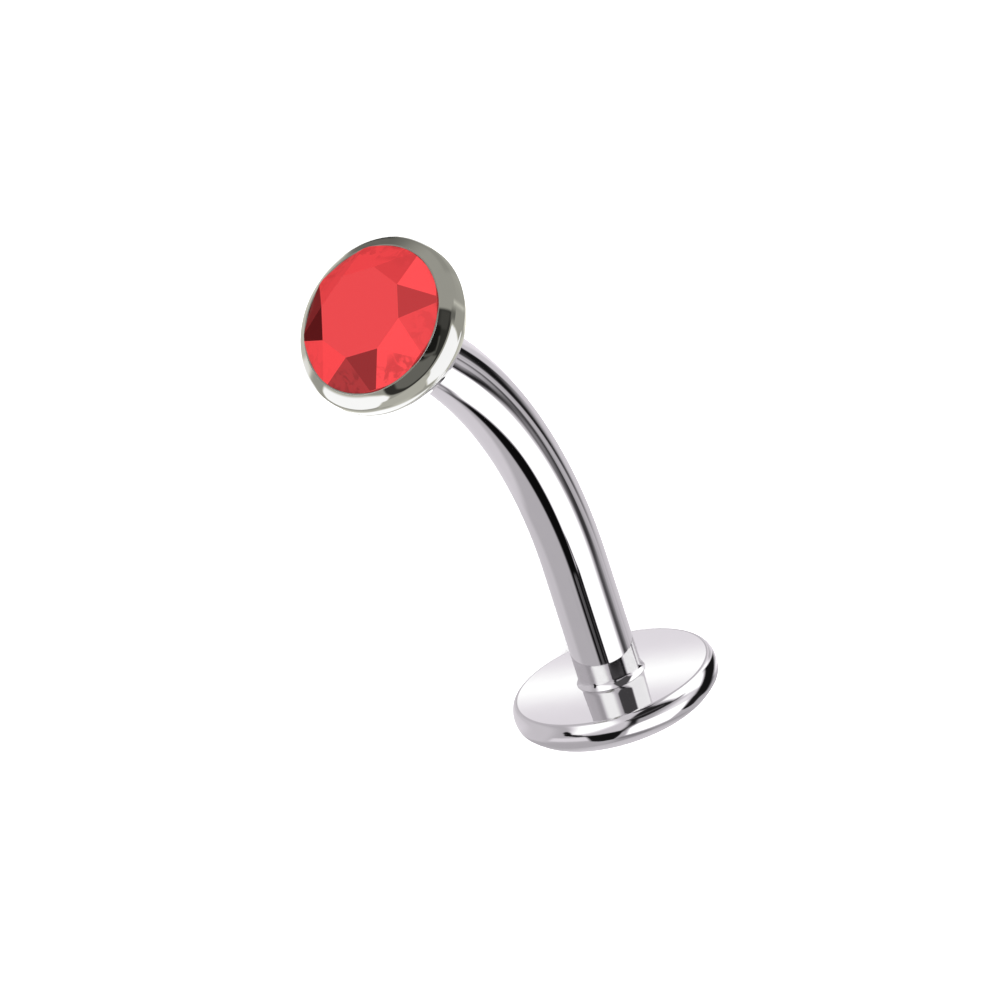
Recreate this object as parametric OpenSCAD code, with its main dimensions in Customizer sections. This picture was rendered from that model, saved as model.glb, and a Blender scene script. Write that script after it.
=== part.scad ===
// Floating navel ring: a curved bar with a flat disc at one end and a bezel-set stone at the other.
// It lies on its side as it would by itself: on the disc's rim, the cup's rim and the back of the bend.

/* [Bar] */
// Diameter of the bar
bar_d = 1.6; // [1.2:0.1:2]
// Straight length from the disc's flat face to the start of the bend
shank_len = 3.2; // [2.6:0.1:4]
// Radius of the bend, at the bar's centre line
bend_r = 10.7; // [10:0.1:12]
// Angle of the bend
bend_angle = 42; // [38:1:45]
// Straight length from the end of the bend to the stone's visible edge
end_len = 3; // [2.8:0.1:3.4]
// Height of the flared foot where the bar stands on the disc
foot_h = 0.2; // [0.1:0.02:0.3]
// How far the flared foot reaches out past the bar
foot_out = 0.07; // [0.04:0.01:0.15]

/* [Disc] */
// Diameter of the disc's face, inside its crisp edge
face_d = 4.84; // [4.6:0.02:5]
// How much the face rises from its edge to the bar, so slight that it looks flat
dome_h = 0.06; // [0:0.01:0.12]
// Largest diameter of the disc
disc_d = 5.2; // [5.1:0.02:5.4]
// Depth of the widest line of the rim below the face's edge
rim_depth = 0.33; // [0.2:0.01:0.4]
// Diameter and depth of the rounded corner where the rim turns under
corner_d = 5.06; // [4.9:0.02:5.1]
corner_depth = 0.61; // [0.5:0.01:0.7]
// Diameter and depth of the low corner where the underside turns flat
low_d = 4.38; // [4.2:0.02:4.5]
low_depth = 0.895; // [0.8:0.005:0.94]
// Diameter of the small flat in the middle of the underside
under_d = 3.74; // [3:0.02:4]
// Full thickness of the disc
disc_h = 0.96; // [0.8:0.02:1.2]

/* [Cup] */
// Diameter of the opening in the bezel lip, where the stone shows
window_d = 3.81; // [3.7:0.01:3.9]
// Outer diameter of the thin lip
lip_d = 3.9; // [3.88:0.01:3.96]
// Depth of the rounded shoulder below the lip
shoulder_depth = 0.3; // [0.2:0.02:0.4]
// Diameter of the cup's upright side
cup_d = 4.5; // [4.4:0.01:4.6]
// Depth of the crisp line where the side ends
crease_depth = 0.62; // [0.5:0.02:0.7]
// Diameter that the swell of the domed back would reach if it came to a corner
swell_d = 4.76; // [4.6:0.02:4.8]
// Diameter and depth at the middle of the domed back
back_d = 3.96; // [3.8:0.02:4.1]
back_depth = 1.15; // [1:0.05:1.25]
// Diameter of the flat seat that meets the bar
seat_d = 2.1; // [1.9:0.1:2.4]
// Depth of that seat
cup_h = 1.86; // [1.8:0.02:2.1]

/* [Stone] */
// Distance across the corners of the eight-sided table
table_d = 2.36; // [2.2:0.02:2.6]
// Height of the table above the lip's opening
table_h = 0.56; // [0.4:0.02:0.6]
// Height of the kite facets' outer ends above the lip's opening
kite_h = 0.01; // [0:0.01:0.05]
// Diameter of the stone's round edge, held under the lip
stone_d = 3.9; // [3.86:0.02:3.94]
// Turn of the table about the stone's axis
table_turn = -8.4; // [-22:0.1:22]
// Depth of the stone's point below the lip's opening
culet_depth = 1.2; // [1:0.05:1.3]

/* [Hidden posts] */
// Diameter of the post that fixes the bar in the disc
post_d = 1; // [0.8:0.1:1.1]
// Length of that post
post_len = 0.55; // [0.4:0.05:0.6]
// Diameter of the pin that holds the cup in the bar
pin_d = 1; // [0.8:0.05:1]
// Length of that pin
pin_len = 1.9; // [1.4:0.1:2]

/* [How it lies] */
// Tip of the bar from upright, before it rolls over
rest_tip = 110.781; // [105:0.001:116]
// Roll onto the side of the bend
rest_roll = 29.231; // [24:0.001:34]
// Place of the disc's centre along the floor
rest_x = 6.394; // [-10:0.001:10]
// Place of the disc's centre across the floor
rest_y = 0.059; // [-5:0.001:5]
// Height of the disc's centre over the floor
rest_z = 2.3985; // [1:0.0005:4]

/* [Hidden] */
// gap between pieces that touch in the real ring
gap = 0.02;
// extra reach of a cut past the face that it opens
cut = 0.2;
// straight pieces in each curved stretch of an outline
steps = 10;
$fn = 96;
// angle at which the rim turns down from the face, for a crisp edge
rim_start = 15;
bar_r = bar_d / 2;
pin_gap = 0.03;
lap = 0.15;
hair = 0.002;
bend_x = bend_r * (1 - cos(bend_angle));
bend_z = shank_len + bend_r * sin(bend_angle);
// height of the lip's flat top above its opening
lip_h = 1.5 * gap;
// the stone's crown: table corners and low corners, the low ones lost beyond its round edge
sides = 8;
side_turn = 360 / sides;
low_r = 2.1;
kite_slope = (table_h - kite_h) / (window_d / 2 - table_d / 2);
low_z = table_h - kite_slope * (low_r * cos(side_turn / 2) - table_d / 2);
// the ledge that the lip holds down, the foot of the crown and the pavilion's point
ledge_z = -0.06;
girdle_z = -0.32;
culet_r = 0.12;

// a quarter of an ellipse from angle a to angle b, centre c and half widths s, as outline points
function arc(c, s, a, b) = [for (i = [0 : steps])
    let (t = a + (b - a) * i / steps) [c[0] + s[0] * cos(t), c[1] + s[1] * sin(t)]];

// a smooth curve that leaves p toward q and arrives at r
function bow(p, q, r) = [for (i = [0 : steps])
    let (t = i / steps) (1 - t) * (1 - t) * p + 2 * t * (1 - t) * q + t * t * r];

// the point a share t of the way from p to r
function way(p, r, t) = p + (r - p) * t;

module lie_down()
    translate([rest_x, rest_y, rest_z]) rotate([rest_roll, 0, 0]) rotate([0, -rest_tip, 0]) children();

// places a piece on the gem end's axis, with z = 0 at the bezel's opening
module at_gem_end()
    translate([bend_x, 0, bend_z]) rotate([0, bend_angle, 0]) translate([0, 0, end_len]) children();

module bend()
    translate([bend_r, 0, shank_len]) mirror([1, 0, 0]) rotate([90, 0, 0])
        rotate_extrude(angle = bend_angle) translate([bend_r, 0]) circle(r = bar_r);

module foot()
    translate([0, 0, dome_h + gap]) rotate_extrude() polygon(concat(
        [[0, 0]],
        bow([bar_r + foot_out, 0], [bar_r, foot_h / 3], [bar_r, foot_h]),
        [[0, foot_h]]));

module curved_bar()
    color("gainsboro") lie_down() difference() {
        union() {
            translate([0, 0, gap - post_len]) cylinder(d = post_d, h = post_len + bar_r);
            foot();
            translate([0, 0, dome_h + foot_h]) cylinder(r = bar_r, h = shank_len - dome_h - foot_h);
            bend();
            // the straight end starts inside the bend and is a hair slimmer, so the two join cleanly
            at_gem_end() translate([0, 0, -end_len - lap])
                cylinder(r = bar_r - hair, h = end_len + lap - cup_h - gap);
        }
        at_gem_end() translate([0, 0, -cup_h - pin_len - cut])
            cylinder(r = pin_d / 2 + pin_gap, h = pin_len + 2 * cut);
    }

// outline points of the disc, from the widest line of the rim down to the flat underside
rim = [disc_d / 2, -rim_depth];
corner = [corner_d / 2, -corner_depth];
low = [low_d / 2, -low_depth];
under = [under_d / 2, -disc_h];

module base_disc()
    color("silver") lie_down() difference() {
        rotate_extrude() polygon(concat(
            bow([0, dome_h], [face_d / 4, dome_h], [face_d / 2, 0]),
            arc([face_d / 2, -rim_depth], [(disc_d - face_d) / 2, rim_depth], 90 - rim_start, 0),
            bow(rim, [rim[0], way(rim, corner, 2 / 3)[1]], corner),
            bow(corner, [way(corner, low, 1 / 2)[0], way(corner, low, 2 / 3)[1]], low),
            bow(low, [way(low, under, 1 / 2)[0], under[1]], under),
            [[0, -disc_h]]));
        translate([0, 0, -post_len]) cylinder(d = post_d + 2 * gap, h = post_len + cut);
    }

// outline points of the cup, from its lip down to the seat
lip = [lip_d / 2, lip_h - gap / 2];
shoulder = [cup_d / 2, -shoulder_depth];
crease = [cup_d / 2 - gap / 2, -crease_depth];
back = [back_d / 2, -back_depth];
seat = [seat_d / 2, -cup_h];

module gem_cup()
    color("darkgray") lie_down() at_gem_end() difference() {
        union() {
            rotate_extrude() polygon(concat(
                [[0, lip_h], lip + [-gap / 2, gap / 2]],
                bow(lip, [shoulder[0], way(lip, shoulder, 3 / 5)[1]], shoulder),
                [crease],
                bow(crease - [0, gap], [swell_d / 2, crease[1] - 2 * gap], back),
                bow(back, [way(back, seat, 1 / 2)[0], way(back, seat, 4 / 5)[1]], seat),
                [[0, -cup_h]]));
            translate([0, 0, -cup_h - pin_len]) cylinder(d = pin_d, h = pin_len + cut);
        }
        stone_seat(gap);
        translate([0, 0, girdle_z]) cylinder(d = window_d, h = table_h - girdle_z);
    }

// the part of the stone below the lip, or with grow the pocket that it sits in
module stone_seat(grow)
    union() {
        translate([0, 0, girdle_z - grow])
            cylinder(d = stone_d + 2 * grow, h = ledge_z - girdle_z + 2 * grow);
        translate([0, 0, -culet_depth - grow])
            cylinder(r1 = culet_r, r2 = stone_d / 2 + grow, h = culet_depth + girdle_z, $fn = 2 * sides);
    }

// a ring of corners at radius r and height z, turned by a
function corners(r, z, a) = [for (i = [0 : sides - 1])
    let (t = side_turn * i + a) [r * cos(t), r * sin(t), z]];

module crown()
    polyhedron(
        points = concat(
            corners(table_d / 2, table_h, table_turn),
            corners(low_r, low_z, table_turn + side_turn / 2),
            corners(low_r, girdle_z, table_turn + side_turn / 2)),
        faces = concat(
            [[for (i = [sides - 1 : -1 : 0]) i]],
            [for (i = [0 : sides - 1]) [i, (i + 1) % sides, sides + i]],
            [for (i = [0 : sides - 1]) [(i + 1) % sides, sides + (i + 1) % sides, sides + i]],
            [for (i = [0 : sides - 1]) let (j = (i + 1) % sides)
                [sides + i, sides + j, 2 * sides + j, 2 * sides + i]],
            [[for (i = [0 : sides - 1]) 2 * sides + i]]));

module gem_stone()
    color("crimson") lie_down() at_gem_end() union() {
        intersection() {
            crown();
            translate([0, 0, girdle_z]) cylinder(d = window_d - 2 * gap, h = table_h - girdle_z + cut);
        }
        stone_seat(0);
    }

curved_bar();
base_disc();
gem_cup();
gem_stone();
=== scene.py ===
"""Floating navel ring with a bezel-set red stone, lying on its side on a pale floor."""

import math

import bmesh
import bpy
from mathutils import Matrix, Vector

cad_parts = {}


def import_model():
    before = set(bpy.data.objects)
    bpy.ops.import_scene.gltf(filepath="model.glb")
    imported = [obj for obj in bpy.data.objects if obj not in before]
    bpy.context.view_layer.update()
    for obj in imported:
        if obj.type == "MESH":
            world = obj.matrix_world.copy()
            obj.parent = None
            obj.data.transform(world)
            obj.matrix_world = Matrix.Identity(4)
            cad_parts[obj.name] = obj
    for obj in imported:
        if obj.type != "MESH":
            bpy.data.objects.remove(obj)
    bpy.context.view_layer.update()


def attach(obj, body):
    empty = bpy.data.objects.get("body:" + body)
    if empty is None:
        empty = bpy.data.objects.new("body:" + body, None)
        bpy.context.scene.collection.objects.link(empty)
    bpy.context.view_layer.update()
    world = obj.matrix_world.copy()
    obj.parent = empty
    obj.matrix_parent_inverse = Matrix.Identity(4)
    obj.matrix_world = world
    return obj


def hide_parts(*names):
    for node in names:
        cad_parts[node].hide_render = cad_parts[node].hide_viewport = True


MM = 0.001

# Sizes of the ring in millimetres, as in part.scad, with RIM_START in degrees
BAR_R = 0.8
SHANK_LEN = 3.2
BEND_R, BEND_ANGLE = 10.7, math.radians(42)
END_LEN = 3.0
FOOT_H, FOOT_OUT = 0.2, 0.07
FACE_R, DOME_H = 2.42, 0.06
DISC_R, RIM_DEPTH, RIM_START = 2.6, 0.33, 15
CORNER_R, CORNER_DEPTH = 2.53, 0.61
LOW_EDGE_R, LOW_EDGE_DEPTH = 2.19, 0.895
UNDER_R, DISC_H = 1.87, 0.96
WINDOW_R, LIP_R = 1.905, 1.95
CUP_R, SHOULDER_DEPTH, CREASE_DEPTH = 2.25, 0.3, 0.62
SWELL_R, BACK_R, BACK_DEPTH = 2.38, 1.98, 1.15
SEAT_R, CUP_H = 1.05, 1.86
TABLE_R, TABLE_H, TABLE_TURN = 1.18, 0.56, math.radians(-8.4)
KITE_H, LOW_R = 0.01, 2.1
STONE_R, LEDGE_Z, GIRDLE_Z = 1.95, -0.06, -0.32
CULET_R, CULET_DEPTH = 0.12, 1.2
POST_R, POST_LEN = 0.5, 0.55
PIN_R, PIN_LEN, PIN_GAP = 0.5, 1.9, 0.03
GAP = 0.02
LIP_TOP = 1.5 * GAP

# Lengths of the bend and of the whole centre line, from the disc's face to the stone's opening
BEND_LEN = BEND_R * BEND_ANGLE
LINE_LEN = SHANK_LEN + BEND_LEN + END_LEN
# The stone's sides, and half of the turn from one to the next
SIDES = 8
HALF_SIDE = math.pi / SIDES

# How the ring lies, as in part.scad
REST_TIP, REST_ROLL = math.radians(110.781), math.radians(29.231)
REST_PLACE = Vector((6.394, 0.059, 2.3985))

# What is left open at the foot of the bar, so that the seam is a thin line
SEAM_GAP = 0.004
# How much deeper than the pin its bore goes
BORE_EXTRA = 0.2
# How far the cup's upright side swells between its shoulder and its crisp line
SIDE_CROWN = 0.012
# The angle at which the round of the lip runs into the cup's side, in degrees
LIP_END = 20
# Turns of the pin: how many, how deep, how wide a flank, and the plain length at each end
PIN_TURNS, TURN_DEPTH, TURN_FLANK, PIN_PLAIN = 7, 0.05, 0.1, 0.15
# Bevel at the pin's tip
TIP_IN, TIP_UP = 0.06, 0.05
# How far the stone's round edge reaches into the lip, so that no light shows between them
STONE_REACH = 0.001

# How finely the shapes are cut
SEGMENTS = 160
ARC_STEPS = 20
BAR_STEPS = 120
BORE_STEPS = 6
LIP_STEPS = 4
UNDER_STEPS = 4
# The length of a piece of the stone's round edge, and the one below which two points are the same
EDGE_STEP = 0.12
SAME = 1e-4
# Facets meet in one vertex where their points agree to this many digits
SAME_DIGITS = 5
# Edges sharper than this many degrees stay crisp
SHARP_ANGLE = 30

# The photo's camera: its right, its up and the way back to it, in the world
PHOTO_RIGHT = Vector((0.43496, 0.89502, 0.09874))
PHOTO_UP = Vector((-0.64644, 0.38671, -0.65770))
PHOTO_BACK = Vector((-0.62683, 0.22225, 0.74678))
# What it looks at, how far in front of that its picture is measured, and its width there, in millimetres
LOOK_AT = Vector((2.3975, -0.7167, -0.7255))
LOOK_DEPTH = 4.0
FRAME_WIDTH = 24.43
# Its lens and sensor in millimetres, and the nearest and farthest that it sees in metres
LENS = 1500.0
SENSOR = 36.0
CLIP_START, CLIP_END = 0.01, 20.0

# Steel: its colours, how rough it is, and how dark its faint clouds are
STEEL = (0.725, 0.72, 0.725)
CUP_STEEL = (0.57, 0.57, 0.565)
ROUGH_LOW, ROUGH_HIGH = 0.02, 0.05
CLOUD_SHADE = 0.97
# How fine the noise of the uneven polish, the clouds and the bumps is, per metre, and its detail
ROUGH_SCALE, CLOUD_SCALE, BUMP_SCALE = 900.0, 2500.0, 1500.0
NOISE_DETAIL, BUMP_DETAIL = 2.0, 1.0
# How strong the bumps are, and how high in metres
BUMP_STRENGTH, BUMP_HEIGHT = 0.02, 0.00002
# The values that noise mostly lies between
NOISE_LOW, NOISE_HIGH = 0.3, 0.7

# The stone's red, and how its glass shines
STONE_RED = (0.97, 0.07, 0.078)
STONE_GLASS = {"Roughness": 0.1, "IOR": 1.5, "Specular IOR Level": 0.12}
# Painted light and shade in each facet's colour, for how much light it gives back: the table, the eight
# with an edge on it, the eight between
FACET_PAINTED_LIGHT = {
    "table": 0.84,
    "star": [0.29, 1.0, 0.5, 0.72, 0.95, 0.95, 0.12, 1.0],
    "kite": [0.97, 0.83, 1.0, 0.9, 1.0, 0.27, 1.0, 0.42],
    "pavilion": 0.6,
}
# How much each of them is darkened toward the edge by painted shade, drawn as a crumpled backing, that
# stands in for dark reflections inside the stone
FOIL_FOLD_SHADE = {
    "star": [0.1, 0.1, 0.05, 0.2, 0.7, 0.3, 0.1, 0.1],
    "kite": [1.0, 0.35, 0.0, 0.5, 0.5, 0.1, 0.25, 0.9],
}
# How far from the stone's axis that painted shade starts and where it is full, in millimetres
FOLD_SHADE_START, FOLD_SHADE_FULL = 1.35, 1.6
# The noise of the crumpled backing's painted shade, the values between which it deepens, and how dark it is
FOLD_NOISE = {"Scale": 2.6, "Detail": 3.0, "Distortion": 1.2}
FOLD_LOW, FOLD_HIGH = 0.45, 0.6
FOLD_SHADE = 0.3

# Half of the floor's width in metres, and its white, a little bright of itself to keep shadows faint
FLOOR_HALF = 0.6
FLOOR_PAINT = {
    "Base Color": (0.9, 0.9, 0.9, 1),
    "Roughness": 0.8,
    "Specular IOR Level": 0.0,
    "Emission Color": (1, 0.995, 1, 1),
    "Emission Strength": 0.45,
}
# Its lights: the way to each, how far off and how wide it is in millimetres, and its power
FLOOR_LIGHTS = {
    "key": (PHOTO_BACK + 0.2 * PHOTO_UP, 150, 120, 0.35),
    "top": (Vector((0.1, 0.1, 1)), 120, 160, 0.25),
}

# Radii of the studios' domes in metres, each a little apart from the next, and how finely they are cut
DISC_DOME, BAR_DOME, CUP_DOME, STONE_DOME = 2.0, 1.95, 1.9, 1.85
DOME_CUTS = 4
# How bright a dome is where nothing is painted on it
STEEL_GROUND, CUP_GROUND, STONE_GROUND = 0.58, 0.5, 1.09
# Tints of the grey light on the bar and disc and on the cup
STEEL_TINT = (1.01, 0.965, 1.02)
CUP_TINT = (1.05, 1.035, 0.91)
WHITE = (1, 1, 1)
BLACK = (0, 0, 0)
# The level at which a tint has half gone over to white, and over how wide a span it goes
WHITE_LEVEL, WHITE_SOFT = 1.15, 0.5
# Where the disc's face looks, how far round that its own light reaches, and how bright that is
FACE_SPOT = (-0.282, 0.875)
FACE_REACH, FACE_SOFT, FACE_LEVEL = 0.075, 0.01, 0.96
# The gleam there: how fast it falls off across it, where its middle is, and how bright it is
GLEAM_SLOPE = (16.9, -114.5, 0)
GLEAM_MIDDLE, GLEAM_LEVEL = 0.2, 0.43
# The unit of the angle round the cup
HUNDRED_DEGREES = math.radians(100)


# Places of the ring's parts

def placed(turn, shift):
    """A matrix that turns and then shifts."""
    return Matrix.Translation(shift) @ turn.to_4x4()


LIE_DOWN = placed(Matrix.Rotation(REST_ROLL, 3, "X") @ Matrix.Rotation(-REST_TIP, 3, "Y"), REST_PLACE)


def bar_frame(s):
    """The matrix of the bar's centre line at length s from the disc's face."""
    angle = min(max(s - SHANK_LEN, 0), BEND_LEN) / BEND_R
    before = min(s, SHANK_LEN)
    after = max(s - SHANK_LEN - BEND_LEN, 0)
    spot = Vector((BEND_R * (1 - math.cos(angle)), 0, before + BEND_R * math.sin(angle)))
    spot += after * Vector((math.sin(angle), 0, math.cos(angle)))
    return LIE_DOWN @ placed(Matrix.Rotation(angle, 3, "Y"), spot)


# The cup's and the stone's own place, with height 0 at the opening where the stone shows
GEM_END = bar_frame(LINE_LEN)


# Outlines as lists of (radius, height) points

def between(p, r, t):
    """The value a share t of the way from p to r."""
    return p + (r - p) * t


def arc(centre, halves, start, stop, steps=ARC_STEPS):
    """Part of an ellipse from angle start to angle stop, in degrees."""
    points = []
    for i in range(steps + 1):
        t = math.radians(between(start, stop, i / steps))
        points.append((centre[0] + halves[0] * math.cos(t), centre[1] + halves[1] * math.sin(t)))
    return points


def bow(p, q, r):
    """A smooth curve that leaves p toward q and arrives at r."""
    points = []
    for i in range(ARC_STEPS + 1):
        t = i / ARC_STEPS
        a, b, c = (1 - t) ** 2, 2 * t * (1 - t), t * t
        points.append((a * p[0] + b * q[0] + c * r[0], a * p[1] + b * q[1] + c * r[1]))
    return points


def line(p, r, steps):
    """Evenly spaced points from p to r."""
    shares = [i / steps for i in range(steps + 1)]
    return [(between(p[0], r[0], t), between(p[1], r[1], t)) for t in shares]


def thinned(points):
    """The points without repeats of the one before."""
    kept = [points[0]]
    for point in points[1:]:
        if math.dist(point, kept[-1]) > SAME:
            kept.append(point)
    return kept


# Meshes

def linked_object(name, bm):
    """An object in the scene with the mesh of bm."""
    mesh = bpy.data.meshes.new(name)
    bm.to_mesh(mesh)
    bm.free()
    obj = bpy.data.objects.new(name, mesh)
    bpy.context.scene.collection.objects.link(obj)
    return obj


def smooth_object(name, bm):
    """An object from bm, smooth except at sharp edges."""
    bmesh.ops.recalc_face_normals(bm, faces=bm.faces)
    limit = math.radians(SHARP_ANGLE)
    for face in bm.faces:
        face.smooth = True
    for edge in bm.edges:
        edge.smooth = edge.is_manifold and edge.calc_face_angle(0.0) < limit
    return linked_object(name, bm)


def skin_rings(bm, rings):
    """Joins rings of vertices. A ring of one vertex is a point, which closes that end."""
    for low, high in zip(rings, rings[1:]):
        count = max(len(low), len(high))
        for i in range(count):
            j = (i + 1) % count
            if len(low) == 1:
                bm.faces.new((low[0], high[j], high[i]))
            elif len(high) == 1:
                bm.faces.new((low[i], low[j], high[0]))
            else:
                bm.faces.new((low[i], low[j], high[j], high[i]))


def ring_at(bm, place, radius, height):
    """A ring of vertices round the z axis of place, or one vertex where the radius is nothing."""
    if radius < SAME:
        return [bm.verts.new(place @ Vector((0, 0, height)) * MM)]
    ring = []
    for i in range(SEGMENTS):
        a = 2 * math.pi * i / SEGMENTS
        ring.append(bm.verts.new(place @ Vector((radius * math.cos(a), radius * math.sin(a), height)) * MM))
    return ring


def lathe(name, place, outline):
    """A solid turned from an outline that starts and ends on the axis."""
    bm = bmesh.new()
    skin_rings(bm, [ring_at(bm, place, r, z) for r, z in thinned(outline)])
    return smooth_object(name, bm)


def face_height(r):
    """The height of the disc's face at radius r."""
    return DOME_H * (1 - (r / FACE_R) ** 2)


def make_bar():
    """The curved bar with its foot, the post in the disc and the bore for the cup's pin."""
    bm = bmesh.new()
    outline = [(0, GAP - POST_LEN), (POST_R, GAP - POST_LEN), (POST_R, DOME_H)]
    # the foot comes down to a thin line above the face
    foot_r = BAR_R + FOOT_OUT
    seam = face_height(foot_r) + SEAM_GAP
    start = DOME_H + FOOT_H
    outline += bow((foot_r, seam), (BAR_R, DOME_H + GAP + FOOT_H / 3), (BAR_R, start))
    rings = [ring_at(bm, LIE_DOWN, r, z) for r, z in outline]
    total = LINE_LEN - CUP_H - GAP
    for i in range(1, BAR_STEPS + 1):
        rings.append(ring_at(bm, bar_frame(between(start, total, i / BAR_STEPS)), BAR_R, 0))
    end = bar_frame(total)
    bore_r = PIN_R + PIN_GAP
    # the bore goes a little deeper than the pin, as in part.scad
    bottom = GAP - PIN_LEN - BORE_EXTRA
    for r, z in line((bore_r, 0), (bore_r, bottom), BORE_STEPS) + [(0, bottom)]:
        rings.append(ring_at(bm, end, r, z))
    skin_rings(bm, rings)
    return smooth_object("bar", bm)


def make_disc():
    """The disc with its barely domed face, crisp edge, rounded rim and flat underside."""
    hole = POST_R + GAP
    rim, corner = (DISC_R, -RIM_DEPTH), (CORNER_R, -CORNER_DEPTH)
    low, under = (LOW_EDGE_R, -LOW_EDGE_DEPTH), (UNDER_R, -DISC_H)
    # a last ring close to the face's edge keeps its reflections flat right up to the edge
    last_ring = FACE_R - GAP / 2
    face = bow((0, DOME_H), (FACE_R / 2, DOME_H), (FACE_R, 0))
    outline = [(0, -POST_LEN), (hole, -POST_LEN), (hole, face_height(hole))]
    outline += [(r, z) for r, z in face if hole < r < last_ring]
    outline += [(last_ring, face_height(last_ring)), (FACE_R, 0)]
    outline += arc((FACE_R, -RIM_DEPTH), (DISC_R - FACE_R, RIM_DEPTH), 90 - RIM_START, 0)
    outline += bow(rim, (DISC_R, between(rim[1], corner[1], 2 / 3)), corner)
    outline += bow(corner, (between(corner[0], low[0], 1 / 2), between(corner[1], low[1], 2 / 3)), low)
    outline += bow(low, (between(low[0], under[0], 1 / 2), under[1]), under)
    outline += line(under, (0, -DISC_H), UNDER_STEPS)
    return lathe("disc", LIE_DOWN, outline)


def pocket_outline():
    """The inside of the cup, from below the stone's point up to the opening where it shows."""
    pocket_r = STONE_R + GAP
    return [
        (0, -CULET_DEPTH - 2 * GAP),
        (CULET_R + GAP, -CULET_DEPTH - GAP),
        (pocket_r, GIRDLE_Z - GAP),
        (pocket_r, LEDGE_Z + GAP),
        (WINDOW_R, LEDGE_Z + GAP),
    ]


def pin_outline():
    """The pin below the cup's seat, with its shallow turns and bevelled tip."""
    top, tip = -CUP_H, -CUP_H - PIN_LEN
    pitch = (PIN_LEN - 2 * PIN_PLAIN) / PIN_TURNS
    outline = [(PIN_R, top)]
    for i in range(PIN_TURNS):
        z = top - PIN_PLAIN - i * pitch
        outline += [(PIN_R, z), (PIN_R - TURN_DEPTH, z - TURN_FLANK), (PIN_R, z - 2 * TURN_FLANK)]
    return outline + [(PIN_R, tip + TIP_UP), (PIN_R - TIP_IN, tip), (0, tip)]


def make_cup():
    """The bezel cup: thin lip, rounded side, crisp line, domed back and the pin below."""
    round_r = GAP / 2
    round_z = LIP_TOP - round_r
    halves = (round_r, round_r)
    lip, shoulder = (LIP_R, round_z), (CUP_R, -SHOULDER_DEPTH)
    crease = (CUP_R - GAP / 2, -CREASE_DEPTH)
    back, seat = (BACK_R, -BACK_DEPTH), (SEAT_R, -CUP_H)
    outline = pocket_outline()
    outline += arc((WINDOW_R + round_r, round_z), halves, 180, 90, LIP_STEPS)
    outline += arc((LIP_R - round_r, round_z), halves, 90, LIP_END, LIP_STEPS)
    outline += bow(lip, (CUP_R - SIDE_CROWN, between(lip[1], shoulder[1], 3 / 5)), shoulder)
    outline += bow(shoulder, (CUP_R + SIDE_CROWN, between(shoulder[1], crease[1], 1 / 2)), crease)
    outline += bow(crease, (SWELL_R - 5 * GAP, crease[1] - 4 * GAP), back)
    outline += bow(back, (between(back[0], seat[0], 1 / 2), between(back[1], seat[1], 4 / 5)), seat)
    return lathe("cup", GEM_END, outline + pin_outline())


# The stone

def stone_corner(i, radius, z):
    """Corner i of a ring of corners that are half a side apart, from the table's first corner on."""
    a = TABLE_TURN + i * HALF_SIDE
    return Vector((radius * math.cos(a), radius * math.sin(a), z))


def on_circle(p, radius, z):
    """The point at p's angle on a circle, at height z."""
    a = math.atan2(p.y, p.x)
    return Vector((radius * math.cos(a), radius * math.sin(a), z))


def on_polygon(p, radius, z):
    """The point at p's angle on a polygon of twice the stone's sides, at height z."""
    half = HALF_SIDE / 2
    a = math.atan2(p.y, p.x)
    return on_circle(p, radius * math.cos(half) / math.cos(a % (2 * half) - half), z)


def cut_at(edge, top, bottom):
    """Where the line from top, inside the radius edge, to bottom, outside it, crosses it."""
    way = bottom - top
    a = way.x ** 2 + way.y ** 2
    b = top.x * way.x + top.y * way.y
    c = top.x ** 2 + top.y ** 2 - edge ** 2
    return top + way * ((math.sqrt(b * b - a * c) - b) / a)


def edge_arc(edge, p, q, plane):
    """Points between p and q along the round edge, on the plane of three points."""
    normal = (plane[1] - plane[0]).cross(plane[2] - plane[0])
    first = math.atan2(p.y, p.x)
    turn = (math.atan2(q.y, q.x) - first + math.pi) % (2 * math.pi) - math.pi
    count = max(2, round(abs(turn) * edge / EDGE_STEP))
    points = []
    for i in range(1, count):
        a = first + turn * i / count
        x, y = edge * math.cos(a), edge * math.sin(a)
        z = plane[0].z - (normal.x * (x - plane[0].x) + normal.y * (y - plane[0].y)) / normal.z
        points.append(Vector((x, y, z)))
    return points


class StoneMesh:
    """The stone's facets, each with its painted light and shade and its painted shade of a crumpled
    backing, and its vertices, each with its own place in the stone."""

    def __init__(self):
        self.bm = bmesh.new()
        self.painted_light_and_shade = self.bm.faces.layers.float.new("painted_light_and_shade")
        self.foil_fold_shade = self.bm.faces.layers.float.new("foil_fold_shade")
        self.place = self.bm.verts.layers.float_vector.new("stone_place")
        self.seen = {}

    def vert(self, p):
        """The vertex at p, the same one for all facets that meet there."""
        key = tuple(round(v, SAME_DIGITS) for v in p)
        if key not in self.seen:
            self.seen[key] = self.bm.verts.new(GEM_END @ p * MM)
            self.seen[key][self.place] = p
        return self.seen[key]

    def facet(self, points, painted_light_and_shade, fold_shade_share=0.0):
        """A flat facet with its painted light and shade and its painted shade of a crumpled backing."""
        face = self.bm.faces.new([self.vert(p) for p in points])
        # each facet keeps its painted light and shade and its painted shade of the crumpled backing
        face[self.painted_light_and_shade] = painted_light_and_shade
        face[self.foil_fold_shade] = fold_shade_share
        face.smooth = False


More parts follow.
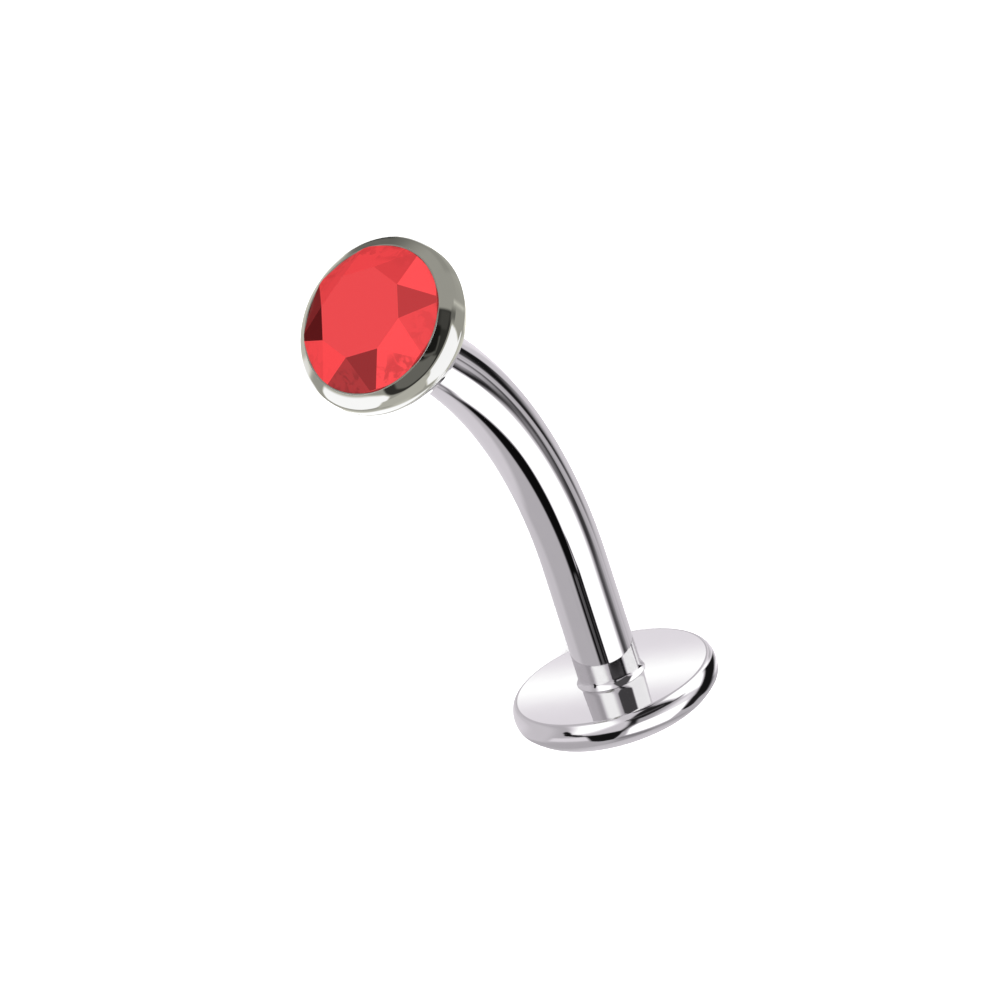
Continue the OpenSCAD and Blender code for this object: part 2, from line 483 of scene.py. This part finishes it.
def add_crown(stone):
    """Adds the table and the facets round it, cut off by the round edge, and returns its points."""
    slope = (TABLE_H - KITE_H) / (WINDOW_R - TABLE_R)
    low_z = TABLE_H - slope * (LOW_R * math.cos(HALF_SIDE) - TABLE_R)
    edge = WINDOW_R + STONE_REACH
    table = [stone_corner(2 * i, TABLE_R, TABLE_H) for i in range(SIDES)]
    low = [stone_corner(2 * i + 1, LOW_R, low_z) for i in range(SIDES)]
    stone.facet(table, FACET_PAINTED_LIGHT["table"])
    rim = []
    for i in range(SIDES):
        j = (i + 1) % SIDES
        left, right = cut_at(edge, table[i], low[i]), cut_at(edge, table[j], low[i])
        next_left = cut_at(edge, table[j], low[j])
        tip = edge_arc(edge, left, right, (table[i], table[j], low[i]))
        skirt = edge_arc(edge, right, next_left, (table[j], low[i], low[j]))
        # the star and kite facets get their painted light and shade
        stone.facet([table[i], left] + tip + [right, table[j]], FACET_PAINTED_LIGHT["star"][i], FOIL_FOLD_SHADE["star"][i])
        stone.facet([table[j], right] + skirt + [next_left], FACET_PAINTED_LIGHT["kite"][i], FOIL_FOLD_SHADE["kite"][i])
        rim += [left] + tip + [right] + skirt
    return rim


def make_stone():
    """The stone: table, crown facets cut off by its round edge, and the pavilion below."""
    stone = StoneMesh()
    rim = add_crown(stone)
    wall = [Vector((p.x, p.y, LEDGE_Z)) for p in rim]
    ledge = [on_circle(p, STONE_R, LEDGE_Z) for p in rim]
    girdle = [on_circle(p, STONE_R, GIRDLE_Z) for p in rim]
    belt = [on_polygon(p, STONE_R, GIRDLE_Z) for p in rim]
    point = [on_polygon(p, CULET_R, -CULET_DEPTH) for p in rim]
    rings = (rim, wall, ledge, girdle, belt, point)
    for high, low in zip(rings, rings[1:]):
        for i in range(len(rim)):
            j = (i + 1) % len(rim)
            quad = [low[i], low[j], high[j], high[i]]
            quad = [p for n, p in enumerate(quad) if (p - quad[n - 1]).length > SAME]
            if len(quad) > 2:
                stone.facet(quad, FACET_PAINTED_LIGHT["pavilion"])
    stone.facet(point[::-1], FACET_PAINTED_LIGHT["pavilion"])
    bmesh.ops.recalc_face_normals(stone.bm, faces=stone.bm.faces)
    return linked_object("stone", stone.bm)


# Nodes

def set_inputs(tree, node, inputs):
    """Sets a node's inputs, by name or by number, to values or to other nodes' outputs."""
    for key, value in inputs.items():
        if isinstance(value, bpy.types.NodeSocket):
            tree.links.new(value, node.inputs[key])
        else:
            node.inputs[key].default_value = value


def new_node(tree, kind, inputs, **settings):
    """A new node with its settings and inputs."""
    node = tree.nodes.new(kind)
    for name, setting in settings.items():
        setattr(node, name, setting)
    set_inputs(tree, node, inputs)
    return node


def math_node(tree, operation, *values):
    """What the operation makes of numbers and outputs."""
    return new_node(tree, "ShaderNodeMath", dict(enumerate(values)), operation=operation).outputs[0]


def product(tree, *values):
    """All the values multiplied."""
    result = values[0]
    for value in values[1:]:
        result = math_node(tree, "MULTIPLY", result, value)
    return result


def vector_node(tree, operation, *values, output="Vector"):
    """What the operation makes of vectors."""
    inputs = dict(enumerate(values))
    return new_node(tree, "ShaderNodeVectorMath", inputs, operation=operation).outputs[output]


def step(tree, value, low, high):
    """0 where the value is below low and 1 where it is above high, with a smooth way between."""
    inputs = {"Value": value, "From Min": low, "From Max": high}
    return new_node(tree, "ShaderNodeMapRange", inputs, interpolation_type="SMOOTHSTEP").outputs["Result"]


def noise(tree, place, inputs):
    """Soft noise over the place."""
    return new_node(tree, "ShaderNodeTexNoise", {"Vector": place, **inputs}).outputs["Fac"]


def colour_mix(tree, share, first, second):
    """The first colour where the share is 0 and the second where it is 1."""
    inputs = {"Factor": share, "A": (*first, 1), "B": (*second, 1)}
    return new_node(tree, "ShaderNodeMix", inputs, data_type="RGBA").outputs["Result"]


def attribute(tree, name, output="Fac"):
    """What the mesh keeps under this name."""
    return new_node(tree, "ShaderNodeAttribute", {}, attribute_name=name).outputs[output]


# Materials

def shader(name):
    """A new material, its node tree and its shader node."""
    mat = bpy.data.materials.new(name)
    mat.use_nodes = True
    return mat, mat.node_tree, mat.node_tree.nodes["Principled BSDF"]


def polished_steel(name, colour):
    """Mirror-polished steel with the faint unevenness that polishing leaves."""
    mat, tree, bsdf = shader(name)
    place = new_node(tree, "ShaderNodeTexCoord", {}).outputs["Object"]
    uneven = {
        "Value": noise(tree, place, {"Scale": ROUGH_SCALE, "Detail": NOISE_DETAIL}),
        "From Min": NOISE_LOW,
        "From Max": NOISE_HIGH,
        "To Min": ROUGH_LOW,
        "To Max": ROUGH_HIGH,
    }
    clouds = noise(tree, place, {"Scale": CLOUD_SCALE, "Detail": NOISE_DETAIL})
    bumps = {
        "Height": noise(tree, place, {"Scale": BUMP_SCALE, "Detail": BUMP_DETAIL}),
        "Strength": BUMP_STRENGTH,
        "Distance": BUMP_HEIGHT,
    }
    set_inputs(tree, bsdf, {
        "Metallic": 1.0,
        "Base Color": colour_mix(tree, clouds, [c * CLOUD_SHADE for c in colour], colour),
        "Roughness": new_node(tree, "ShaderNodeMapRange", uneven).outputs["Result"],
        "Normal": new_node(tree, "ShaderNodeBump", bumps).outputs["Normal"],
    })
    return mat


def red_stone():
    """Foil-backed red glass: each facet's colour carries painted light and shade for what it reflects,
    and painted shade of a crumpled backing darkens it toward the stone's edge."""
    mat, tree, bsdf = shader("red_stone")
    place = attribute(tree, "stone_place", "Vector")
    flat = vector_node(tree, "MULTIPLY", place, (1, 1, 0))
    out = vector_node(tree, "LENGTH", flat, output="Value")
    # painted shade toward the stone's edge, in crumpled patches, standing in for dark reflections inside it
    toward_edge = step(tree, out, FOLD_SHADE_START, FOLD_SHADE_FULL)
    fold_shade_spots = step(tree, noise(tree, place, FOLD_NOISE), FOLD_LOW, FOLD_HIGH)
    dim = product(tree, fold_shade_spots, toward_edge, attribute(tree, "foil_fold_shade"), FOLD_SHADE)
    keep = math_node(tree, "SUBTRACT", 1.0, dim)
    # the facet's painted light and shade, less the painted shade of the crumpled backing, sets how bright
    # its red is
    share = product(tree, attribute(tree, "painted_light_and_shade"), keep)
    set_inputs(tree, bsdf, {"Base Color": colour_mix(tree, share, BLACK, STONE_RED), **STONE_GLASS})
    return mat


def pale_floor():
    """A plain white floor."""
    mat, tree, bsdf = shader("floor")
    set_inputs(tree, bsdf, FLOOR_PAINT)
    return mat


# The studios: each piece has a great dome of soft white and dark cards that only it mirrors

def light_only(light, receiver):
    """The light falls on nothing but the receiver."""
    only = bpy.data.collections.new(light.name + "_receivers")
    only.objects.link(receiver)
    light.light_linking.receiver_collection = only


def make_dome(name, radius, receiver, for_diffuse):
    """A dome round the receiver, which the camera never sees and which casts no shadow."""
    bm = bmesh.new()
    bmesh.ops.create_icosphere(bm, subdivisions=DOME_CUTS, radius=radius)
    dome = smooth_object(name, bm)
    dome.visible_camera = False
    dome.visible_shadow = False
    dome.visible_transmission = False
    dome.visible_diffuse = for_diffuse
    light_only(dome, receiver)
    return dome


class Studio:
    """A dome whose light is painted over a plane of places, one thing over another. A place (x, y)
    is where a surface that mirrors that part of the dome toward the photo's camera faces: x is how
    far right and y how far up. A mask is 1 where it lets the paint through and 0 elsewhere."""

    def __init__(self, name, radius, receiver, ground, for_diffuse=False):
        dome = make_dome(name, radius, receiver, for_diffuse)
        material = bpy.data.materials.new(name)
        material.use_nodes = True
        material.cycles.emission_sampling = "NONE"
        dome.data.materials.append(material)
        self.tree = material.node_tree
        self.tree.nodes.clear()
        self.light = ground
        way = new_node(self.tree, "ShaderNodeTexCoord", {}).outputs["Object"]
        half = self.vector("ADD", self.vector("NORMALIZE", way), PHOTO_BACK)
        self.facing = self.vector("NORMALIZE", half)
        self.lay_out(self.dot(self.facing, PHOTO_RIGHT), self.dot(self.facing, PHOTO_UP))

    def lay_out(self, x, y):
        """Sets the two coordinates that the cards are placed by."""
        self.spot = new_node(self.tree, "ShaderNodeCombineXYZ", {"X": x, "Y": y}).outputs["Vector"]

    def math(self, operation, *values):
        """What the operation makes of numbers and outputs."""
        return math_node(self.tree, operation, *values)

    def vector(self, operation, *values):
        """What the operation makes of vectors, where that is a vector."""
        return vector_node(self.tree, operation, *values)

    def dot(self, a, b):
        """How far a reaches along b."""
        return vector_node(self.tree, "DOT_PRODUCT", a, b, output="Value")

    def distance(self, a, b):
        """How far a is from b."""
        return vector_node(self.tree, "DISTANCE", a, b, output="Value")

    def past(self, value, edge, soft):
        """0 below the edge and 1 above it, over a soft width."""
        return step(self.tree, value, edge - soft / 2, edge + soft / 2)

    def within(self, value, edge, soft):
        """1 below the edge and 0 above it, over a soft width."""
        return self.math("SUBTRACT", 1.0, self.past(value, edge, soft))

    def beyond(self, ax, ay, level, soft):
        """A mask of the side where ax * x + ay * y is more than level."""
        return self.past(self.dot(self.spot, (ax, ay, 0)), level, soft)

    def round_spot(self, centre, radius, soft):
        """A mask of what is within a radius of centre."""
        return self.within(self.distance(self.spot, (*centre, 0)), radius, soft)

    def hoop(self, centre, radius, half, soft):
        """A mask of what is within half of a circle's line."""
        far = self.distance(self.spot, (*centre, 0))
        return self.within(self.math("ABSOLUTE", self.math("SUBTRACT", far, radius)), half, soft)

    def paint(self, level, *masks):
        """Paints this level of light where all the masks are 1."""
        mask = product(self.tree, *masks)
        old = self.math("MULTIPLY", self.light, self.math("SUBTRACT", 1.0, mask))
        self.light = self.math("ADD", old, self.math("MULTIPLY", mask, level))

    def card(self, level, soft, *corners):
        """Paints a card at this level, with its edges soft over this width. Its corners are given
        anticlockwise, and none of them points inward."""
        sides = []
        for (ax, ay), (bx, by) in zip(corners, corners[1:] + corners[:1]):
            long = math.dist((ax, ay), (bx, by))
            inward = ((ay - by) / long, (bx - ax) / long)
            sides.append(self.beyond(*inward, inward[0] * ax + inward[1] * ay, soft))
        self.paint(level, *sides)

    def stroke(self, level, half, soft, start, stop):
        """Paints a stroke at this level, on what is within half of the line from start to stop."""
        long = math.dist(start, stop)
        way = ((stop[0] - start[0]) / long, (stop[1] - start[1]) / long, 0)
        off = self.vector("SUBTRACT", self.spot, (*start, 0))
        along = self.math("MINIMUM", self.math("MAXIMUM", self.dot(off, way), 0.0), long)
        nearest = new_node(self.tree, "ShaderNodeVectorMath", {0: way, "Scale": along}, operation="SCALE")
        self.paint(level, self.within(self.distance(off, nearest.outputs["Vector"]), half, soft))

    def shine(self, tint):
        """The dome gives off its light, tinted where it isn't white, and lets everything else through."""
        hue = colour_mix(self.tree, self.past(self.light, WHITE_LEVEL, WHITE_SOFT), tint, WHITE)
        glow = new_node(self.tree, "ShaderNodeEmission", {"Color": hue, "Strength": self.light})
        clear = new_node(self.tree, "ShaderNodeBsdfTransparent", {})
        both = {0: glow.outputs["Emission"], 1: clear.outputs["BSDF"]}
        total = new_node(self.tree, "ShaderNodeAddShader", both)
        new_node(self.tree, "ShaderNodeOutputMaterial", {"Surface": total.outputs["Shader"]})


def shared_cards(s):
    """What the bar and the disc both mirror."""
    s.paint(0.74, s.beyond(-1, 0, 0.62, 0.14))
    # pale surroundings above
    s.paint(0.95, s.beyond(0.35, 1, 0.52, 0.2))
    # white card on the left
    s.card(0.78, 0.1, (-0.47, -0.36), (0.08, -0.4), (0.08, 0.35), (-0.12, 0.62), (-0.47, 0.55))
    s.card(1.6, 0.16, (-0.45, -0.28), (-0.3, -0.3), (-0.06, -0.05), (-0.2, 0.3), (-0.46, 0.36))
    # white card high on the right
    s.card(1.5, 0.1, (0, 0.6), (0.34, 0.26), (0.541, 0.1), (0.95, 0.1), (0.95, 0.3), (0.45, 0.8),
           (0, 0.8))
    # what lies between the white cards on the right
    s.card(0.5, 0.06, (0.1, -0.1), (0.13, -0.36), (0.68, -0.3), (0.7, 0), (0.6, 0.08))
    s.card(1.1, 0.2, (0.35, -0.2), (0.68, -0.3), (0.74, 0.1), (0.6, 0.1))
    # dark camera in the middle, with its stand and its arm
    s.stroke(0.1, 0.03, 0.08, (0.42, 0.1), (0.52, 0.16))
    s.card(0.02, 0.06, (0.05, -0.1), (0.2, -0.1), (0.45, 0.08), (0.42, 0.17), (0.12, 0.36), (0.03, 0.33))
    s.stroke(0.01, 0.045, 0.06, (-0.02, 0.47), (0.08, 0.38))
    s.stroke(0.05, 0.03, 0.05, (-0.12, 0.6), (-0.02, 0.48))
    s.stroke(0.02, 0.042, 0.06, (0.11, -0.08), (0.13, -0.24))
    s.stroke(0.06, 0.028, 0.06, (0.13, -0.24), (0.07, -0.4))
    # black frame of the left card
    s.stroke(0.07, 0.02, 0.03, (-0.52, -0.12), (-0.52, -0.18))
    s.stroke(0.01, 0.034, 0.03, (-0.51, -0.18), (-0.48, -0.3))
    s.stroke(0.01, 0.036, 0.03, (-0.48, -0.3), (-0.37, -0.36))
    s.stroke(0.06, 0.022, 0.04, (-0.37, -0.37), (-0.2, -0.42))


def light_disc(disc):
    """The disc's studio."""
    s = Studio("disc_studio", DISC_DOME, disc, STEEL_GROUND)
    shared_cards(s)
    # faint gleam on the camera, which the foot of the bar mirrors by way of the disc's face
    s.stroke(0.09, 0.03, 0.03, (0.03, -0.015), (0.31, 0.135))
    # low white card
    s.card(1.55, 0.05, (0.13, -0.38), (0.14, -0.58), (0.56, -0.53), (0.67, -0.25), (0.68, -0.1),
           (0.2, -0.27))
    s.card(0.95, 0.06, (-0.62, -0.54), (-0.22, -0.54), (-0.26, -0.42), (-0.6, -0.42))
    # grey table below, with a dark edge
    s.paint(0.55, s.beyond(0, -1, 0.6, 0.1))
    s.paint(0.42, s.beyond(0, -1, 0.6, 0.1), s.beyond(1, 0, 0.1, 0.2), s.beyond(-1, 0, -0.7, 0.2))
    s.stroke(0.2, 0.03, 0.16, (0.12, -0.64), (0.36, -0.68))
    # black card
    s.card(0.01, 0.04, (-0.3, -0.4), (-0.2, -0.58), (-0.08, -0.64), (0.04, -0.64), (0.07, -0.5),
           (0.08, -0.38))
    # dark curtain on the right
    s.paint(0.01, s.hoop((0.1, 0.09), 0.75, 0.085, 0.06), s.beyond(0, 1, -0.2, 0.1),
            s.beyond(0, -1, -0.64, 0.1), s.beyond(1, 0, 0.4, 0.1))
    s.stroke(0.015, 0.064, 0.05, (0.72, -0.3), (0.78, -0.13))
    # pale rim all round
    s.paint(0.73, s.beyond(0.3, -1, 0.93, 0.1))
    s.paint(0.85, s.beyond(-1, 0, 0.86, 0.1))
    # grey hoop that the edge of the face mirrors
    s.paint(0.64, s.hoop(FACE_SPOT, 0.2, 0.11, 0.04))
    # grey and dark ends of what the right part of the rim mirrors
    s.stroke(0.6, 0.035, 0.08, (0.22, 0.93), (0.55, 0.73))
    s.stroke(0.55, 0.055, 0.1, (0.01, 0.66), (0.07, 0.5))
    s.stroke(0.19, 0.062, 0.03, (-0.09, 0.63), (-0.02, 0.478))
    s.stroke(0.03, 0.03, 0.04, (-0.085, 0.625), (-0.005, 0.484))
    # the face mirrors a small soft gleam on a pale ground
    across = s.dot(s.vector("SUBTRACT", s.spot, (*FACE_SPOT, 0)), GLEAM_SLOPE)
    rise = s.math("SUBTRACT", across, GLEAM_MIDDLE)
    gleam = s.math("EXPONENT", s.math("MULTIPLY", s.math("MULTIPLY", rise, rise), -1.0))
    face = s.math("MULTIPLY_ADD", gleam, GLEAM_LEVEL, FACE_LEVEL)
    s.paint(face, s.round_spot(FACE_SPOT, FACE_REACH, FACE_SOFT))
    s.shine(STEEL_TINT)


def light_bar(bar):
    """The bar's studio."""
    s = Studio("bar_studio", BAR_DOME, bar, STEEL_GROUND)
    shared_cards(s)
    # the camera is paler where the disc's face mirrors the bar
    s.card(0.09, 0.06, (0.02, -0.12), (0.5, -0.12), (0.5, 0.2), (0.12, 0.38), (0, 0.36))
    # tall white card on the right
    s.paint(0.83, s.beyond(-0.35, -1, 0.855, 0.07))
    s.card(1.6, 0.05, (0.12, -0.36), (0.14, -1), (0.745, -1), (0.68, -0.35), (0.59, -0.085))
    s.stroke(0.85, 0.02, 0.1, (0.28, -0.83), (0.13, -0.9))
    # grey wall beyond it, behind a dark curved edge
    s.card(0.22, 0.05, (0.645, -0.09), (0.69, -0.24), (0.73, -0.2), (0.77, -0.08), (0.72, -0.06))
    s.paint(0.74, s.beyond(1, -0.24, 0.81, 0.03))
    s.paint(0.76, s.beyond(1, 0, 0.8, 0.04), s.beyond(0, 1, 0.1, 0.1))
    s.stroke(0.02, 0.022, 0.04, (0.705, -0.33), (0.74, -0.2))
    s.stroke(0.06, 0.012, 0.03, (0.74, -0.2), (0.782, -0.08))
    s.stroke(0.3, 0.04, 0.2, (0.66, -0.12), (0.71, -0.09))
    s.stroke(0.05, 0.028, 0.05, (0.7, -0.115), (0.79, -0.062))
    s.stroke(0.55, 0.008, 0.025, (0.785, -0.052), (0.845, 0.05))
    s.stroke(0.02, 0.018, 0.04, (0.856, 0.08), (0.858, 0.12))
    s.stroke(0.01, 0.03, 0.05, (0.858, 0.12), (0.846, 0.29))
    # tall black card, with a thin bright line and a tail
    s.card(0.005, 0.07, (-0.1, -0.37), (-0.055, -0.62), (0, -0.75), (0.1, -0.88), (0.17, -0.84),
           (0.225, -0.72), (0.25, -0.6), (0.2, -0.5), (0.15, -0.42), (0.1, -0.36))
    s.stroke(0.01, 0.018, 0.03, (0.1, -0.375), (0.162, -0.362))
    s.stroke(0.01, 0.016, 0.03, (0.15, -0.365), (0.155, -0.43))
    s.stroke(0.12, 0.018, 0.06, (0.1, -0.86), (0.23, -0.83))
    s.stroke(0.3, 0.013, 0.025, (-0.01, -0.4), (0.04, -0.385))
    s.shine(STEEL_TINT)


def light_cup(cup):
    """The cup's studio. Its cards are placed by the angle round the cup from the camera's side, in
    hundreds of degrees, and by how far a surface there faces up the cup's axis."""
    s = Studio("cup_studio", CUP_DOME, cup, CUP_GROUND)
    axis = (GEM_END.to_3x3() @ Vector((0, 0, 1))).normalized()
    front = (PHOTO_BACK - PHOTO_BACK.dot(axis) * axis).normalized()
    right = axis.cross(front)
    angle = s.math("ARCTAN2", s.dot(s.facing, right), s.dot(s.facing, front))
    s.lay_out(s.math("DIVIDE", angle, HUNDRED_DEGREES), s.dot(s.facing, axis))
    # greys from the camera's side round to the far right
    s.paint(0.43, s.beyond(1, 0, 0.62, 0.06))
    s.paint(0.5, s.beyond(1, 0, 0.4, 0.1), s.beyond(0, 1, 0.68, 0.1))
    s.paint(0.2, s.beyond(1, 0, 0.97, 0.35), s.beyond(0, 1, 0.55, 0.3))
    s.paint(0.08, s.beyond(1, 0, 1.14, 0.08), s.beyond(0, -1, -0.7, 0.16))
    s.card(1.5, 0.08, (0.88, -0.2), (1.12, -0.2), (1.12, 0.5), (0.98, 0.58), (0.88, 0.5))
    s.paint(0.6, s.beyond(1, 0, 1.5, 0.2))
    s.paint(1.35, s.beyond(0, -1, -0.76, 0.12), s.beyond(1, 0, 1.52, 0.1))
    # pale surroundings on the far left
    s.paint(0.75, s.beyond(-1, 0, 1.12, 0.08))
    s.card(1.2, 0.06, (-1.28, 0.7), (-1.14, 0.68), (-1.14, 0.82), (-1.26, 0.84))
    s.card(1.5, 0.06, (-2.2, -0.2), (-0.95, -0.2), (-0.95, 0.1), (-0.975, 0.35), (-1.05, 0.66),
           (-1.12, 0.7), (-2.2, 0.74))
    # white card on the left, and grey under it
    s.paint(0.62, s.beyond(-1, 0, 0.5, 0.03), s.beyond(1, 0, -0.86, 0.05), s.beyond(0, -1, -0.3, 0.2))
    s.card(1.65, 0.03, (-0.97, 0.76), (-0.92, 0.6), (-0.8, 0.5), (-0.65, 0.44), (-0.53, 0.48),
           (-0.4, 0.74), (-0.43, 0.79), (-0.53, 0.82), (-0.96, 0.82))
    # grey card
    s.card(0.68, 0.03, (-0.51, 0.3), (-0.42, 0.04), (-0.2, -0.03), (-0.12, 0.08), (-0.09, 0.4),
           (-0.14, 0.66), (-0.47, 0.68), (-0.51, 0.52))
    # dark card with a darker frame, a black right part and a thin bright line
    s.card(0.045, 0.03, (-0.39, 0.75), (-0.3, 0.69), (-0.12, 0.62), (0.33, 0.62), (0.35, 0.9),
           (-0.42, 0.9), (-0.42, 0.8))
    s.card(0.2, 0.03, (-0.33, 0.79), (-0.26, 0.72), (-0.08, 0.66), (0.02, 0.68), (0, 0.84), (-0.32, 0.84))
    s.card(0.08, 0.03, (0.2, 0.7), (0.32, 0.7), (0.33, 0.82), (0.2, 0.82))
    s.card(0.015, 0.03, (-0.08, 0.83), (0.02, 0.77), (0.1, 0.77), (0.22, 0.8), (0.22, 0.95),
           (-0.12, 0.95))
    s.stroke(0.15, 0.01, 0.02, (-0.02, 0.82), (0.03, 0.76))
    s.stroke(0.13, 0.008, 0.02, (0.03, 0.74), (0.14, 0.78))
    # white cards toward the back
    s.card(1.0, 0.12, (-1.2, -1), (-0.02, -1), (-0.3, 0), (-0.542, 0.056), (-0.85, 0.03), (-1.2, -0.026))
    s.card(1.65, 0.04, (-1.2, -1), (-0.02, -1), (-0.02, -0.25), (-0.2, -0.09), (-0.27, -0.06),
           (-0.52, 0.03), (-0.7, 0), (-1.2, -0.2))
    s.card(1.6, 0.03, (-0.17, -0.04), (-0.02, -0.18), (0.1, -0.18), (0.17, -0.12), (0.225, 0.02),
           (0.23, 0.1), (-0.115, 0.17))
    s.card(1.6, 0.03, (-0.115, 0.1), (0.23, 0.05), (0.245, 0.54), (-0.08, 0.54))
    # dark edge and a bright streak at their right
    s.card(0.2, 0.06, (0.27, 0.3), (0.34, 0.3), (0.35, 0.66), (0.27, 0.66))
    s.stroke(0.9, 0.01, 0.05, (0.395, 0.55), (0.385, -0.1))
    # pale ground behind, greyer where the bar comes in
    s.card(0.7, 0.06, (-0.1, -1), (0.3, -1), (0.2, -0.2), (-0.02, -0.2))
    s.paint(1.0, s.beyond(0, -1, 0.28, 0.1), s.beyond(1, 0, 0.28, 0.08))
    s.paint(1.5, s.beyond(0, -1, 0.2, 0.1), s.beyond(1, 0, 0.5, 0.14), s.beyond(-1, 0, -1.0, 0.15))
    # where the lip's narrow top looks
    s.paint(0.35, s.beyond(0, 1, 0.865, 0.03), s.beyond(-1, 0, 0.02, 0.1))
    s.paint(0.4, s.beyond(0, 1, 0.97, 0.03))
    s.shine(CUP_TINT)


def light_stone(stone):
    """Even light for the stone, whose own facets carry painted light and shade, with two dark places."""
    s = Studio("stone_studio", STONE_DOME, stone, STONE_GROUND, for_diffuse=True)
    s.paint(0.03, s.beyond(-1, 0, 0.7, 0.12), s.beyond(0, 1, -0.2, 0.1), s.beyond(0, -1, -0.62, 0.1))
    s.paint(0.03, s.beyond(0, 1, 0.65, 0.1), s.beyond(-1, 0, 0.15, 0.1))
    s.shine(WHITE)


# The room

def white_world():
    """White beyond the floor's edge, which lights and is mirrored by nothing."""
    world = bpy.data.worlds.new("studio")
    bpy.context.scene.world = world
    world.use_nodes = True
    world.node_tree.nodes["Background"].inputs["Color"].default_value = (*WHITE, 1)
    world.cycles_visibility.diffuse = False
    world.cycles_visibility.glossy = False
    world.cycles_visibility.transmission = False
    world.cycles_visibility.scatter = False


def area_light(name, toward, distance, size, power, receiver):
    """A soft square light in the direction toward, for the receiver alone."""
    data = bpy.data.lights.new(name, "AREA")
    data.size = size * MM
    data.energy = power
    obj = bpy.data.objects.new(name, data)
    way = toward.normalized()
    obj.location = way * distance * MM
    obj.rotation_euler = way.to_track_quat("Z", "Y").to_euler()
    obj.visible_glossy = False
    bpy.context.scene.collection.objects.link(obj)
    light_only(obj, receiver)


def add_camera():
    """The camera at the photo's angle to the ring."""
    data = bpy.data.cameras.new("camera")
    data.lens = LENS
    data.sensor_width = SENSOR
    data.clip_start = CLIP_START
    data.clip_end = CLIP_END
    camera = bpy.data.objects.new("camera", data)
    turn = Matrix((PHOTO_RIGHT, PHOTO_UP, PHOTO_BACK)).transposed()
    away = FRAME_WIDTH * LENS / SENSOR
    spot = LOOK_AT + PHOTO_BACK * (away + LOOK_DEPTH)
    camera.matrix_world = placed(turn, spot * MM)
    bpy.context.scene.collection.objects.link(camera)
    bpy.context.scene.camera = camera


def add_floor():
    """The floor, which the ring doesn't mirror."""
    bm = bmesh.new()
    corners = ((-1, -1, 0), (1, -1, 0), (1, 1, 0), (-1, 1, 0))
    bm.faces.new([bm.verts.new(Vector(corner) * FLOOR_HALF) for corner in corners])
    floor = smooth_object("floor", bm)
    floor.data.materials.append(pale_floor())
    floor.visible_glossy = False
    floor.visible_diffuse = False
    return floor


def main():
    """The ring, its room and its lights."""
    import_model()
    add_camera()
    bar, disc, cup, stone = make_bar(), make_disc(), make_cup(), make_stone()
    pieces = (
        (bar, "curved_bar", "ring", "bar_steel", polished_steel("bar_steel", STEEL)),
        (disc, "base_disc", "ring", "disc_steel", polished_steel("disc_steel", STEEL)),
        (cup, "gem_cup", "gem_end", "cup_steel", polished_steel("cup_steel", CUP_STEEL)),
        (stone, "gem_stone", "gem_end", "red_stone", red_stone()),
    )
    for piece, node, body, slot, material in pieces:
        piece.data.materials.append(material)
        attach(piece, body)
        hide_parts(node)
    floor = add_floor()
    light_bar(bar)
    light_disc(disc)
    light_cup(cup)
    light_stone(stone)
    white_world()
    for name, (toward, distance, size, power) in FLOOR_LIGHTS.items():
        area_light(name, toward, distance, size, power, floor)
    bpy.context.scene.view_settings.view_transform = "Standard"


main()
